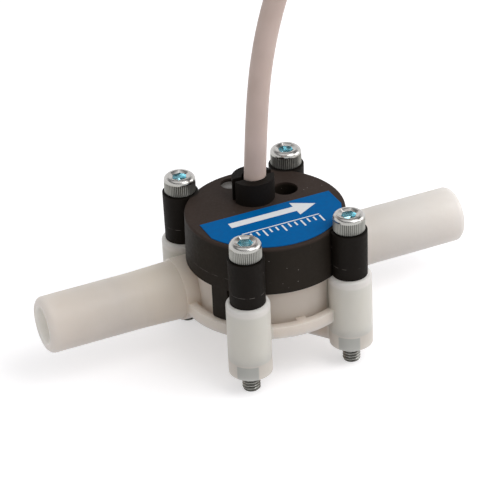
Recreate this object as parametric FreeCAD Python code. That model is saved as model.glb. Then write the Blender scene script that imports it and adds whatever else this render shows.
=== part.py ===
import FreeCAD, Part
import math
import os
from FreeCAD import Rotation, Vector

# Turbine flow meter with two in-line tube stubs, held together by four long screws.
# Millimetres, +Z up. The origin lies on the chamber's axis, on the plane of the four screw tips.
# +X runs along the stubs towards the outlet, and -Y is the side that carries the label.

# Screws and nuts
SCREW_R = 2.0
SCREW_TIP_CHAMFER = 0.3
THREAD_DEPTH = 0.44
HEAD_R = 3.5
HEAD_H = 4.0
HEAD_EDGE = 0.9
HEAD_SEAT_CLEARANCE = 0.15
HEX_SOCKET_AF = 3.0
HEX_SOCKET_DEPTH = 2.2
NUT_AF = 7.0
NUT_H = 3.2
NUT_CLEARANCE = 0.1
SCREW_HOLE_CLEARANCE = 0.15

# Screw pattern: the rear pair stands a little further apart than the front pair
FRONT_SPACING = 24.4
REAR_SPACING = 26.0
ROW_SPACING = 32.8

# Columns of the body and of the cap, over the screw tips that stand out below them
TIP_LENGTH = 4.85
BODY_COLUMN_HEIGHT = 17.4
CAP_COLUMN_HEIGHT = 10.8
REAR_JOINT_DROP = 0.7
COLUMN_R = 4.8
COLUMN_SHOULDER = 0.8
CAP_COLUMN_R = 3.9
CAP_COLUMN_FLARE = 0.1
CAP_WEB_WIDTH = 3.4

# Tube stubs
OVERALL_LENGTH = 101.6
TUBE_END_R = 6.35
TUBE_DRAFT = 0.3
TUBE_STRAIGHT = 22.0
TUBE_WALL = 2.38
TUBE_OUTER_EDGE = 1.5
TUBE_INNER_EDGE = 0.6
TUBE_RIM_FLAT = 0.05
TUBE_AXIS_Y = 7.0
TUBE_AXIS_DROP = 0.25
NECK_PROUD = 0.2
NECK_INSET = 0.2
NECK_MARGIN = 0.35
OUTLET_INSET = 4.8

# Chamber body, from the inside out
CHAMBER_R = 10.8
CHAMBER_HEIGHT = 10.8
FLOOR_THICKNESS = 1.4
CUP_WALL = 1.4
COVER_LEDGE = 2.8
COVER_THICKNESS = 4.9
RIM_WALL = 2.6
SKIRT_WALL = 1.4
SPIGOT_HEIGHT = 2.7
DECK_THICKNESS = 1.4

# Base ring, separated from the wall by a moat with two bridges
MOAT_WIDTH = 1.1
MOAT_DEPTH = 1.5
RING_WIDTH = 1.9
RING_DROP = 10.5
RING_THICKNESS = 2.7
BRIDGE_WIDTH = 2.2

# Arms under the floor, out to the columns
ARM_WIDTH = 5.0
ARM_RISE = 0.5
BEARING_BOSS_R = 4.0

# Rotor, shaft and bearings
BLADE_COUNT = 8
BLADE_TIP_GAP = 0.6
BLADE_END_GAP = 1.4
BLADE_THICKNESS = 0.9
BLADE_BOW = 1.1
HUB_R = 3.2
HUB_END_GAP = 0.8
WEB_THICKNESS = 1.2
WEB_MARGIN = 0.6
MAGNET_COUNT = 4
MAGNET_R = 1.0
MAGNET_LENGTH = 2.0
MAGNET_INSET = 2.6
MAGNET_WALL = 0.5
SHAFT_R = 0.75
PIVOT_R = 0.45
PIVOT_CLEARANCE = 0.03
JEWEL_R = 1.5
JEWEL_H = 1.2
END_PLAY = 0.05
PIVOT_END_GAP = 0.15

# Nozzle pressed into the inlet
PORT_LENGTH = 1.2
PORT_R = 2.4
NOZZLE_LENGTH = 8.0
NOZZLE_INLET_R = 3.6
NOZZLE_THROAT_R = 2.2

# Cover and its ring seal
COVER_CLEARANCE = 0.1
COVER_RIM = 4.5
SEAL_R = 0.75
SEAL_SIDE_GAP = 0.1
SEAL_SQUEEZE_ROOM = 0.02
GROOVE_RISE = 2.7
MEMBRANE = 1.8

# Cap
CAP_PROUD = 0.25
CAP_WALL = 1.5
CAP_DRAFT = 0.25
CAP_EDGE = 0.45
CAP_SKIRT_CLEARANCE = 0.15
CAP_CAVITY_INSET = 1.4
CAP_ROOF = 2.5
TONGUE_START_DEG = 203.0
TONGUE_END_DEG = 216.0
TONGUE_GAP = 0.05
TONGUE_CORNER_R = 0.6
COLLAR_Y = 5.7
COLLAR_R = 4.7
COLLAR_H = 5.35
COLLAR_SLOT = 1.4
SIDE_HOLE_X = 7.65
SIDE_HOLE_Y = 5.7
SIDE_HOLE_R = 2.8
SIDE_HOLE_RISE = 1.75
SIDE_HOLE_WALL = 0.9
FILL_HOLE_X = -2.0
FILL_HOLE_OUTSET = 1.4
FILL_HOLE_R = 2.3
FILL_HOLE_RISE = 2.35
POTTING_SINK = 0.8

# Sensor electronics
BOARD_W = 13.0
BOARD_L = 9.0
BOARD_T = 1.0
BOARD_Y = -4.0
BOARD_RISE = 1.7
POST_R = 1.0
POST_INSET = 0.3
HALL_W = 4.1
HALL_T = 1.6
HALL_H = 3.0
HALL_Y = -7.0
HALL_LEG = 0.45
HALL_PITCH = 1.27
HALL_FLOOR_GAP = 0.2
CHIP_W = 2.0
CHIP_L = 1.25
CHIP_H = 0.6
CHIP_PLACES = ((-3.6, -5.6), (0.0, -5.6), (3.6, -5.6), (-3.6, -3.0), (3.6, -3.0))
LEAD_R = 0.5
LEAD_PITCH = 1.5
LEAD_END_Y = -0.4

# Label
LABEL_W = 31.0
LABEL_BACK_Y = 0.0
LABEL_EDGE_MARGIN = 0.9
LABEL_T = 0.15

# Cable, and the flat coil of its far end beside the meter
CABLE_R = 2.45
CABLE_CLEARANCE = 0.05
CABLE_START_DEPTH = 4.45
COIL_X = 93.1
COIL_Y = -11.5
COIL_START_R = 30.55
COIL_STEP = 5.0
COIL_TURNS = 2.2
CORE_R = 0.65
CORE_PITCH = 1.4
CORE_LENGTH = 14.0
CORE_LEAN_DEG = 65.0
CORE_SPREAD_DEG = 9.0
CORE_DROP = 1.7

# Cutters run at least this far past the face that they open, or right through
OVERCUT = 1.0
FAR = 200.0

# Edges are told apart to this precision
NEAR = 0.01

column_bottom = TIP_LENGTH
column_joint = column_bottom + BODY_COLUMN_HEIGHT
head_base = column_joint + CAP_COLUMN_HEIGHT
body_top = column_joint + SPIGOT_HEIGHT
seat_z = body_top - COVER_THICKNESS
chamber_floor = seat_z - CHAMBER_HEIGHT
chamber_mid = chamber_floor + CHAMBER_HEIGHT / 2
cup_bottom = chamber_floor - FLOOR_THICKNESS
ring_bottom = column_joint - RING_DROP
ring_top = ring_bottom + RING_THICKNESS
arm_bottom = column_bottom + ARM_RISE
cap_top = head_base + CAP_PROUD
cavity_top = cap_top - CAP_ROOF
board_z = body_top + BOARD_RISE
side_hole_floor = body_top + SIDE_HOLE_RISE
fill_hole_floor = body_top + FILL_HOLE_RISE
tongue_bottom = ring_top + TONGUE_GAP

cup_outer_r = CHAMBER_R + CUP_WALL
cover_bore_r = CHAMBER_R + COVER_LEDGE
skirt_outer_r = cover_bore_r + RIM_WALL
skirt_inner_r = skirt_outer_r - SKIRT_WALL
ring_inner_r = skirt_outer_r + MOAT_WIDTH
ring_outer_r = ring_inner_r + RING_WIDTH
cap_inner_r = skirt_outer_r + CAP_SKIRT_CLEARANCE
cap_r_bottom = cap_inner_r + CAP_WALL
cap_r_top = cap_r_bottom - CAP_DRAFT
cap_cavity_r = cover_bore_r - CAP_CAVITY_INSET
fill_hole_y = cap_cavity_r + FILL_HOLE_OUTSET
screw_hole_r = SCREW_R + SCREW_HOLE_CLEARANCE
screw_shank_r = SCREW_R - THREAD_DEPTH / 2
rotor_r = CHAMBER_R - BLADE_TIP_GAP
blade_height = CHAMBER_HEIGHT - 2 * BLADE_END_GAP
hub_length = CHAMBER_HEIGHT - 2 * HUB_END_GAP
magnet_pitch_r = rotor_r - MAGNET_INSET

tube_end = OVERALL_LENGTH / 2
tube_axis_z = chamber_mid - TUBE_AXIS_DROP
tube_root_r = TUBE_END_R + TUBE_DRAFT
tube_bore_r = TUBE_END_R - TUBE_WALL
neck_x = ring_outer_r + NECK_PROUD
neck_inner_x = CHAMBER_R + NECK_INSET
nozzle_x = CHAMBER_R + PORT_LENGTH
outlet_x = CHAMBER_R - OUTLET_INSET

half_rows = ROW_SPACING / 2
column_places = {
    "front_left": (-FRONT_SPACING / 2, -half_rows),
    "front_right": (FRONT_SPACING / 2, -half_rows),
    "rear_left": (-REAR_SPACING / 2, half_rows),
    "rear_right": (REAR_SPACING / 2, half_rows),
}

cable_route = (
    (0.0, COLLAR_Y, cap_top - CABLE_START_DEPTH),
    (0.0, 5.7, 47.0),
    (3.2, 5.6, 70.0),
    (10.0, 3.4, 92.0),
    (22.9, -3.4, 106.2),
    (40.4, -13.8, 108.8),
    (54.4, -24.3, 99.3),
    (60.8, -32.2, 79.0),
    (63.2, -37.9, 60.0),
    (64.0, -41.2, 43.0),
    (64.1, -40.1, 30.0),
    (63.9, -35.2, 18.2),
    (63.5, -26.3, 9.2),
    (62.9, -15.3, 3.9),
)


def cylinder(radius, low, high, x=0.0, y=0.0):
    """Upright cylinder between two heights."""
    return Part.makeCylinder(radius, high - low, Vector(x, y, low))


def ring(outer, inner, low, high, x=0.0, y=0.0):
    """Upright tube between two heights."""
    return cylinder(outer, low, high, x, y).cut(cylinder(inner, low - OVERCUT, high + OVERCUT, x, y))


def block(x0, x1, y0, y1, z0, z1):
    return Part.makeBox(x1 - x0, y1 - y0, z1 - z0, Vector(x0, y0, z0))


def spun(profile):
    """Solid of a closed (radius, height) outline turned about the Z axis."""
    points = [Vector(r, 0, z) for r, z in profile]
    face = Part.Face(Part.makePolygon(points + points[:1]))
    return face.revolve(Vector(0, 0, 0), Vector(0, 0, 1), 360)


def hexagon(across_flats, low, high, x, y, facing_deg=0.0):
    """Upright hexagonal prism with one of its flats facing the given way, from +X."""
    corner = across_flats / math.sqrt(3)
    turns = [math.radians(facing_deg + 60 * k + 30) for k in range(6)]
    points = [Vector(x + corner * math.cos(a), y + corner * math.sin(a), low) for a in turns]
    return Part.Face(Part.makePolygon(points + points[:1])).extrude(Vector(0, 0, high - low))


def outward_deg(x, y):
    """Direction from the chamber's axis to a place."""
    return math.degrees(math.atan2(y, x))


def joined(shapes):
    """One solid of several that touch or overlap."""
    return shapes[0].multiFuse(list(shapes[1:]))


def along_x(shape):
    """Turns a shape built about the Z axis so that its axis is the stubs' axis, +Z becoming +X."""
    turned = shape.copy()
    turned.Placement = FreeCAD.Placement(
        Vector(0, TUBE_AXIS_Y, tube_axis_z), Rotation(Vector(0, 1, 0), 90)
    )
    return turned


def sector(radius, start_deg, end_deg, low, high):
    """Upright wedge from the axis, between two angles."""
    a, b = math.radians(start_deg), math.radians(end_deg)
    m = (a + b) / 2
    start = Vector(radius * math.cos(a), radius * math.sin(a), low)
    middle = Vector(radius * math.cos(m), radius * math.sin(m), low)
    end = Vector(radius * math.cos(b), radius * math.sin(b), low)
    centre = Vector(0, 0, low)
    edges = [
        Part.LineSegment(centre, start).toShape(),
        Part.Arc(start, middle, end).toShape(),
        Part.LineSegment(end, centre).toShape(),
    ]
    return Part.Face(Part.Wire(edges)).extrude(Vector(0, 0, high - low))


def solid_of(shape):
    """The solid inside a one-solid compound."""
    return shape.Solids[0] if len(shape.Solids) == 1 else shape


# Body


def stub_bar():
    """Outside of both stubs in one turned bar through the chamber, with rounded ends."""
    end = tube_end
    straight_start = end - TUBE_STRAIGHT
    edge = min(TUBE_OUTER_EDGE, TUBE_WALL - TUBE_INNER_EDGE - TUBE_RIM_FLAT)
    diagonal = edge * (1 - math.sqrt(0.5))
    edges = []
    for side in (-1, 1):
        root = Vector(tube_root_r, 0, side * neck_x)
        straight = Vector(TUBE_END_R, 0, side * straight_start)
        shoulder = Vector(TUBE_END_R, 0, side * (end - edge))
        bend = Vector(TUBE_END_R - diagonal, 0, side * (end - diagonal))
        rim = Vector(TUBE_END_R - edge, 0, side * end)
        edges += [
            Part.LineSegment(root, straight).toShape(),
            Part.LineSegment(straight, shoulder).toShape(),
            Part.Arc(shoulder, bend, rim).toShape(),
            Part.LineSegment(rim, Vector(0, 0, side * end)).toShape(),
        ]
    edges.append(Part.LineSegment(Vector(0, 0, -end), Vector(0, 0, end)).toShape())
    edges.append(Part.LineSegment(Vector(tube_root_r, 0, -neck_x), Vector(tube_root_r, 0, neck_x)).toShape())
    face = Part.Face(Part.Wire(Part.__sortEdges__(edges)))
    return along_x(face.revolve(Vector(0, 0, 0), Vector(0, 0, 1), 360))


def neck():
    """Collar that joins a stub to the chamber wall, a little wider than the stub's root."""
    return along_x(cylinder(tube_root_r + NECK_MARGIN, neck_inner_x, neck_x))


def mouth_rounding(radius):
    """Cutter that rounds the inner edge of a bore at the stub's end."""
    end = tube_end
    edge = TUBE_INNER_EDGE
    corner = Vector(radius, 0, end)
    diagonal = edge * (1 - math.sqrt(0.5))
    lines = [
        Part.LineSegment(corner, Vector(radius + edge, 0, end)),
        Part.Arc(
            Vector(radius + edge, 0, end),
            Vector(radius + diagonal, 0, end - diagonal),
            Vector(radius, 0, end - edge),
        ),
        Part.LineSegment(Vector(radius, 0, end - edge), corner),
    ]
    face = Part.Face(Part.Wire([line.toShape() for line in lines]))
    return along_x(face.revolve(Vector(0, 0, 0), Vector(0, 0, 1), 360))


def mirrored(shape):
    """The same shape on the inlet side."""
    return shape.mirror(Vector(0, 0, 0), Vector(1, 0, 0))


def chamber_shell():
    """Cup, deck, skirt, moat and base ring in one turned outline, still solid inside."""
    return spun(
        [
            (0, cup_bottom),
            (cup_outer_r, cup_bottom),
            (cup_outer_r, seat_z - DECK_THICKNESS),
            (skirt_inner_r, seat_z - DECK_THICKNESS),
            (skirt_inner_r, ring_bottom),
            (ring_outer_r, ring_bottom),
            (ring_outer_r, ring_top),
            (ring_inner_r, ring_top),
            (ring_inner_r, ring_top - MOAT_DEPTH),
            (skirt_outer_r, ring_top - MOAT_DEPTH),
            (skirt_outer_r, body_top),
            (0, body_top),
        ]
    )


def bridge(angle_deg):
    """Short rib that closes the moat at one place."""
    rib = block(
        skirt_outer_r - CUP_WALL / 2, ring_outer_r - RING_WIDTH / 2,
        -BRIDGE_WIDTH / 2, BRIDGE_WIDTH / 2,
        ring_top - MOAT_DEPTH, ring_top,
    )
    rib.rotate(Vector(0, 0, 0), Vector(0, 0, 1), angle_deg)
    return rib


def joint_height(y):
    """Height at which body and cap columns meet, a little lower at the rear."""
    return column_joint - REAR_JOINT_DROP if y > 0 else column_joint


def body_column(x, y):
    """Screw column with a rounded shoulder."""
    top = joint_height(y)
    column = cylinder(COLUMN_R, column_bottom, top, x, y)
    top_edges = [e for e in column.Edges if e.BoundBox.ZMin > top - NEAR]
    return column.makeFillet(COLUMN_SHOULDER, top_edges)


def arm(x, y):
    """Web from under the floor out to a column, low under the floor and full height beyond the cup."""
    reach = math.hypot(x, y)
    low = block(0, reach, -ARM_WIDTH / 2, ARM_WIDTH / 2, arm_bottom, cup_bottom)
    tall = block(cup_outer_r - CUP_WALL / 2, reach, -ARM_WIDTH / 2, ARM_WIDTH / 2, arm_bottom, ring_bottom)
    web = low.fuse(tall)
    web.rotate(Vector(0, 0, 0), Vector(0, 0, 1), outward_deg(x, y))
    return web


def make_body():
    outside = [chamber_shell(), stub_bar(), neck(), mirrored(neck())]
    outside += [bridge(90), bridge(270)]
    outside += [cylinder(BEARING_BOSS_R, arm_bottom, cup_bottom)]
    for x, y in column_places.values():
        outside += [body_column(x, y), arm(x, y)]
    body = joined(outside)
    outlet = along_x(cylinder(tube_bore_r, outlet_x, tube_end + OVERCUT))
    inlet = mirrored(along_x(cylinder(tube_bore_r, nozzle_x, tube_end + OVERCUT)))
    port = mirrored(along_x(cylinder(PORT_R, 0, nozzle_x + OVERCUT)))
    hollows = [
        cylinder(CHAMBER_R, chamber_floor, seat_z + OVERCUT),
        cylinder(cover_bore_r, seat_z, FAR),
        cylinder(JEWEL_R, chamber_floor - JEWEL_H, chamber_floor + OVERCUT),
        outlet,
        inlet,
        port,
        mouth_rounding(tube_bore_r),
        mirrored(mouth_rounding(tube_bore_r)),
    ]
    for x, y in column_places.values():
        hollows.append(cylinder(screw_hole_r, 0, FAR, x, y))
        pocket_top = column_bottom + NUT_H + NUT_CLEARANCE
        hollows.append(hexagon(NUT_AF + 2 * NUT_CLEARANCE, 0, pocket_top, x, y, outward_deg(x, y)))
    return solid_of(body.cut(hollows))


def make_nozzle():
    """Converging sleeve against the shoulder of the inlet bore."""
    outer = nozzle_x + NOZZLE_LENGTH
    outline = [
        (NOZZLE_THROAT_R, nozzle_x),
        (tube_bore_r, nozzle_x),
        (tube_bore_r, outer),
        (NOZZLE_INLET_R, outer),
    ]
    return mirrored(along_x(spun(outline)))


# Rotor


def blade(angle_deg):
    """Upright blade, bowed in plan."""
    half = BLADE_THICKNESS / 2
    inner = HUB_R - half
    outer = math.sqrt(rotor_r ** 2 - half ** 2)
    middle = (inner + outer) / 2
    low = chamber_mid - blade_height / 2
    corners = [Vector(inner, -half, low), Vector(outer, -half, low)]
    corners += [Vector(outer, half, low), Vector(inner, half, low)]
    edges = [
        Part.Arc(corners[0], Vector(middle, BLADE_BOW - half, low), corners[1]).toShape(),
        Part.LineSegment(corners[1], corners[2]).toShape(),
        Part.Arc(corners[2], Vector(middle, BLADE_BOW + half, low), corners[3]).toShape(),
        Part.LineSegment(corners[3], corners[0]).toShape(),
    ]
    solid = Part.Face(Part.Wire(edges)).extrude(Vector(0, 0, blade_height))
    solid.rotate(Vector(0, 0, 0), Vector(0, 0, 1), angle_deg)
    return solid


def magnet_places():
    """Centres between blades, evenly spread."""
    half_pitch = 180.0 / BLADE_COUNT
    angles = [math.radians(360.0 * k / MAGNET_COUNT + half_pitch) for k in range(MAGNET_COUNT)]
    return [(magnet_pitch_r * math.cos(a), magnet_pitch_r * math.sin(a)) for a in angles]


web_top = chamber_mid + WEB_THICKNESS / 2
magnet_base = web_top + MAGNET_WALL


def make_rotor():
    parts = [cylinder(HUB_R, chamber_mid - hub_length / 2, chamber_mid + hub_length / 2)]
    parts.append(cylinder(rotor_r - WEB_MARGIN, chamber_mid - WEB_THICKNESS / 2, web_top))
    parts += [blade(360.0 * k / BLADE_COUNT) for k in range(BLADE_COUNT)]
    for x, y in magnet_places():
        parts.append(cylinder(MAGNET_R + MAGNET_WALL, chamber_mid, magnet_base + MAGNET_LENGTH, x, y))
    rotor = joined(parts)
    holes = [cylinder(SHAFT_R, 0, FAR)]
    holes += [cylinder(MAGNET_R, magnet_base, FAR, x, y) for x, y in magnet_places()]
    return solid_of(rotor.cut(holes))


def make_shaft():
    """Spindle with a thinner pivot at each end."""
    low = chamber_floor + END_PLAY
    high = seat_z - END_PLAY
    pivot_low = chamber_floor - JEWEL_H + PIVOT_END_GAP
    pivot_high = seat_z + JEWEL_H - PIVOT_END_GAP
    return solid_of(joined([cylinder(SHAFT_R, low, high), cylinder(PIVOT_R, pivot_low, pivot_high)]))


def make_magnets():
    top = magnet_base + MAGNET_LENGTH
    return Part.makeCompound([cylinder(MAGNET_R, magnet_base, top, x, y) for x, y in magnet_places()])


def jewel(low):
    """Ring bearing for a pivot."""
    return ring(JEWEL_R, PIVOT_R + PIVOT_CLEARANCE, low, low + JEWEL_H)


# Cover


cover_r = cover_bore_r - COVER_CLEARANCE
groove_r = cover_bore_r - 2 * SEAL_R - 2 * SEAL_SQUEEZE_ROOM
groove_z = seat_z + GROOVE_RISE
groove_half = SEAL_R + SEAL_SIDE_GAP
sensor_well_r = cover_r - COVER_RIM


def make_cover():
    """Plug with a ring groove and a well for the sensor."""
    cover = spun(
        [
            (0, seat_z),
            (cover_r, seat_z),
            (cover_r, groove_z - groove_half),
            (groove_r, groove_z - groove_half),
            (groove_r, groove_z + groove_half),
            (cover_r, groove_z + groove_half),
            (cover_r, body_top),
            (sensor_well_r, body_top),
            (sensor_well_r, seat_z + MEMBRANE),
            (0, seat_z + MEMBRANE),
        ]
    )
    return solid_of(cover.cut(cylinder(JEWEL_R, seat_z - OVERCUT, seat_z + JEWEL_H)))


def make_seal():
    middle_r = cover_bore_r - SEAL_R - SEAL_SQUEEZE_ROOM
    return Part.makeTorus(middle_r, SEAL_R, Vector(0, 0, groove_z))


# Cap


def cap_column(x, y):
    """Column with a slight flare to its top, tied to the disc by a web inside both."""
    top_r = CAP_COLUMN_R + CAP_COLUMN_FLARE
    low = joint_height(y)
    column = Part.makeCone(CAP_COLUMN_R, top_r, head_base - low, Vector(x, y, low))
    half = CAP_WEB_WIDTH / 2
    web = block(cap_cavity_r, math.hypot(x, y), -half, half, column_joint, head_base)
    web.rotate(Vector(0, 0, 0), Vector(0, 0, 1), outward_deg(x, y))
    return column.fuse(web)


def cap_disc():
    """Drafted disc with a rounded top edge."""
    height = cap_top - column_joint
    disc = Part.makeCone(cap_r_bottom, cap_r_top, height, Vector(0, 0, column_joint))
    rim = [e for e in disc.Edges if e.BoundBox.ZMin > cap_top - NEAR]
    return disc.makeFillet(CAP_EDGE, rim)


def tongue():
    """Key that hangs from the skirt down to the base ring, with rounded lower corners."""
    shell = sector(cap_r_bottom, TONGUE_START_DEG, TONGUE_END_DEG, tongue_bottom, column_joint + OVERCUT)
    shell = shell.cut(cylinder(cap_inner_r, 0, FAR))
    corners = [
        e
        for e in shell.Edges
        if e.BoundBox.ZMax < tongue_bottom + NEAR and abs(e.Length - cap_r_bottom + cap_inner_r) < NEAR
    ]
    return shell.makeFillet(TONGUE_CORNER_R, corners)


def collar():
    """Split ring that holds the cable upright."""
    whole = cylinder(COLLAR_R, cap_top - CAP_ROOF / 2, cap_top + COLLAR_H, 0, COLLAR_Y)
    slot = block(
        -COLLAR_R - OVERCUT, COLLAR_R + OVERCUT,
        COLLAR_Y - COLLAR_SLOT / 2, COLLAR_Y + COLLAR_SLOT / 2,
        cap_top, cap_top + COLLAR_H + OVERCUT,
    )
    return whole.cut(slot)


def board_posts():
    """Round posts under the roof that locate the board."""
    inset = POST_R + POST_INSET
    reach = BOARD_W / 2 - inset
    back = BOARD_Y + BOARD_L / 2 - inset
    front = BOARD_Y - BOARD_L / 2 + inset
    return [(-reach, back), (reach, back), (-reach, front), (reach, front)]


def side_hole_boss():
    """Cup that closes the side hole off from the cavity."""
    low = side_hole_floor - SIDE_HOLE_WALL
    return cylinder(SIDE_HOLE_R + SIDE_HOLE_WALL, low, cap_top, SIDE_HOLE_X, SIDE_HOLE_Y)


def make_cap():
    parts = [cap_disc(), tongue()]
    for x, y in column_places.values():
        parts.append(cap_column(x, y))
    cap = joined(parts)
    cavity = cylinder(cap_cavity_r, 0, cavity_top)
    cavity = cavity.cut(side_hole_boss())
    for x, y in board_posts():
        cavity = cavity.cut(cylinder(POST_R, board_z + BOARD_T, cap_top, x, y))
    skirt_hollow = cylinder(cap_inner_r, column_joint - OVERCUT, body_top)
    cap = cap.cut([skirt_hollow, cavity]).fuse(collar())
    holes = [
        cylinder(CABLE_R + CABLE_CLEARANCE, cavity_top - OVERCUT, FAR, 0, COLLAR_Y),
        cylinder(SIDE_HOLE_R, side_hole_floor, FAR, SIDE_HOLE_X, SIDE_HOLE_Y),
        cylinder(FILL_HOLE_R, fill_hole_floor, FAR, FILL_HOLE_X, fill_hole_y),
    ]
    for x, y in column_places.values():
        holes.append(cylinder(screw_hole_r, 0, FAR, x, y))
        holes.append(cylinder(HEAD_R + HEAD_SEAT_CLEARANCE, head_base, FAR, x, y))
    return solid_of(cap.cut(holes).removeSplitter())


# Electronics


def make_board():
    """Plain board between the posts, its underside level with the resin's."""
    half = BOARD_L / 2
    return block(-BOARD_W / 2, BOARD_W / 2, BOARD_Y - half, BOARD_Y + half, board_z, board_z + BOARD_T)


def make_hall_sensor():
    """Flat three-legged sensor that hangs in the cover's well."""
    low = seat_z + MEMBRANE + HALL_FLOOR_GAP
    case = block(-HALL_W / 2, HALL_W / 2, HALL_Y - HALL_T / 2, HALL_Y + HALL_T / 2, low, low + HALL_H)
    legs = []
    for k in (-1, 0, 1):
        x = k * HALL_PITCH
        legs.append(
            block(
                x - HALL_LEG / 2, x + HALL_LEG / 2,
                HALL_Y - HALL_LEG / 2, HALL_Y + HALL_LEG / 2,
                low + HALL_H, board_z,
            )
        )
    return solid_of(joined([case] + legs))


def make_chips():
    top = board_z + BOARD_T
    chips = []
    for x, y in CHIP_PLACES:
        chips.append(block(x - CHIP_W / 2, x + CHIP_W / 2, y - CHIP_L / 2, y + CHIP_L / 2, top, top + CHIP_H))
    return Part.makeCompound(chips)


def make_leads():
    """Three insulated leads from the cable's end face to the board's pads."""
    height = board_z + BOARD_T + LEAD_R
    length = COLLAR_Y - LEAD_END_Y
    leads = []
    for k in (-1, 0, 1):
        leads.append(
            Part.makeCylinder(LEAD_R, length, Vector(k * LEAD_PITCH, LEAD_END_Y, height), Vector(0, 1, 0))
        )
    return Part.makeCompound(leads)


def make_potting(inside):
    """Resin that fills the cavity above the board's underside and the filling hole."""
    fill = cylinder(cap_cavity_r, board_z, cavity_top)
    plug = cylinder(FILL_HOLE_R, fill_hole_floor, cap_top - POTTING_SINK, FILL_HOLE_X, fill_hole_y)
    fill = fill.fuse(plug)
    cuts = [side_hole_boss()]
    cuts += [cylinder(POST_R, board_z, cap_top, x, y) for x, y in board_posts()]
    return solid_of(fill.cut(cuts + inside).removeSplitter())


# Label


def make_label():
    """Thin sheet on the front half of the cap: straight at the back and sides, round at the front."""
    outer = cap_r_top - LABEL_EDGE_MARGIN
    disc = cylinder(outer, cap_top, cap_top + LABEL_T)
    window = block(-LABEL_W / 2, LABEL_W / 2, -FAR, LABEL_BACK_Y, cap_top - OVERCUT, cap_top + OVERCUT)
    return solid_of(disc.common(window))


# Screws and nuts


def make_screw(x, y):
    """Socket head screw, hanging from the top of a cap column.

    Its free tip has the thread's outer radius, and the rest of the shank the thread's mean radius.
    """
    point = Part.makeCone(SCREW_R - SCREW_TIP_CHAMFER, SCREW_R, SCREW_TIP_CHAMFER, Vector(x, y, 0))
    tip = cylinder(SCREW_R, SCREW_TIP_CHAMFER, column_bottom, x, y)
    shank = cylinder(screw_shank_r, SCREW_TIP_CHAMFER, head_base + HEAD_H / 4, x, y)
    head = cylinder(HEAD_R, head_base, head_base + HEAD_H, x, y)
    rim = [e for e in head.Edges if e.BoundBox.ZMin > head_base + HEAD_H - NEAR]
    head = head.makeFillet(HEAD_EDGE, rim)
    socket = hexagon(HEX_SOCKET_AF, head_base + HEAD_H - HEX_SOCKET_DEPTH, FAR, x, y)
    return solid_of(joined([point, tip, shank, head]).cut(socket))


def make_nut(x, y):
    """Hexagon nut that stands in its column's pocket with one flat facing outward."""
    nut = hexagon(NUT_AF, column_bottom, column_bottom + NUT_H, x, y, outward_deg(x, y))
    return solid_of(nut.cut(cylinder(screw_shank_r, 0, FAR, x, y)))


# Cable


def rounded_path(points):
    """Wire of straight runs joined by tangent arcs, each as large as its two runs allow."""
    edges = []
    start = points[0]
    for before, corner, after in zip(points, points[1:], points[2:]):
        into = (corner - before).normalize()
        out = (after - corner).normalize()
        turn = into.getAngle(out)
        setback = 0.45 * min((corner - before).Length, (after - corner).Length)
        radius = setback / math.tan(turn / 2)
        print("cable turn %.0f degrees, radius %.1f" % (math.degrees(turn), radius))
        first = corner - into * setback
        last = corner + out * setback
        inward = (out - into).normalize()
        middle = corner + inward * (radius / math.cos(turn / 2) - radius)
        edges.append(Part.LineSegment(start, first).toShape())
        edges.append(Part.Arc(first, middle, last).toShape())
        start = last
    edges.append(Part.LineSegment(start, points[-1]).toShape())
    return Part.Wire(edges)


def make_cable_run():
    """Cable from inside the cap, up out of the collar, over and down to the coil."""
    path = rounded_path([Vector(*p) for p in cable_route])
    first = path.Edges[0]
    section = Part.Wire(Part.Circle(first.valueAt(0), first.tangentAt(0), CABLE_R).toShape())
    tube = path.makePipeShell([section], True, False)
    expected = math.pi * CABLE_R ** 2 * path.Length
    print("cable run %.1f long, volume ratio %.4f" % (path.Length, abs(tube.Volume) / expected))
    return solid_of(tube)


coil_end_r = COIL_START_R - COIL_STEP * COIL_TURNS


def make_coil():
    """Outer shape of the cable wound flat on the floor beside the meter."""
    return ring(COIL_START_R + CABLE_R, coil_end_r - CABLE_R, 0, 2 * CABLE_R, COIL_X, COIL_Y)


def make_cores(coil):
    """Three cores that fan out from the cable's end, from inside the coil down to the floor.

    The coil runs clockwise from the side that faces the meter, so its end heads at right angles to its radius.
    """
    place = math.radians(180 - 360 * COIL_TURNS)
    outward = Vector(math.cos(place), math.sin(place), 0)
    centre = Vector(COIL_X, COIL_Y, CABLE_R)
    cores = []
    for k in (-1, 0, 1):
        start = centre + outward * (coil_end_r + k * CORE_PITCH)
        turn = place - math.pi / 2 - math.radians(CORE_LEAN_DEG - k * CORE_SPREAD_DEG)
        direction = Vector(math.cos(turn), math.sin(turn), -CORE_DROP / CORE_LENGTH)
        cores.append(Part.makeCylinder(CORE_R, CORE_LENGTH, start, direction).cut(coil))
    return Part.makeCompound(cores)


def export(shape, name):
    """Writes one node and prints what it holds."""
    if not shape.isValid() or not shape.Solids:
        print("not valid:", name)
    print("%-20s solids %d  volume %.1f" % (name, len(shape.Solids), shape.Volume))
    shape.exportStep(os.path.join("parts", name + ".step"))


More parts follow.
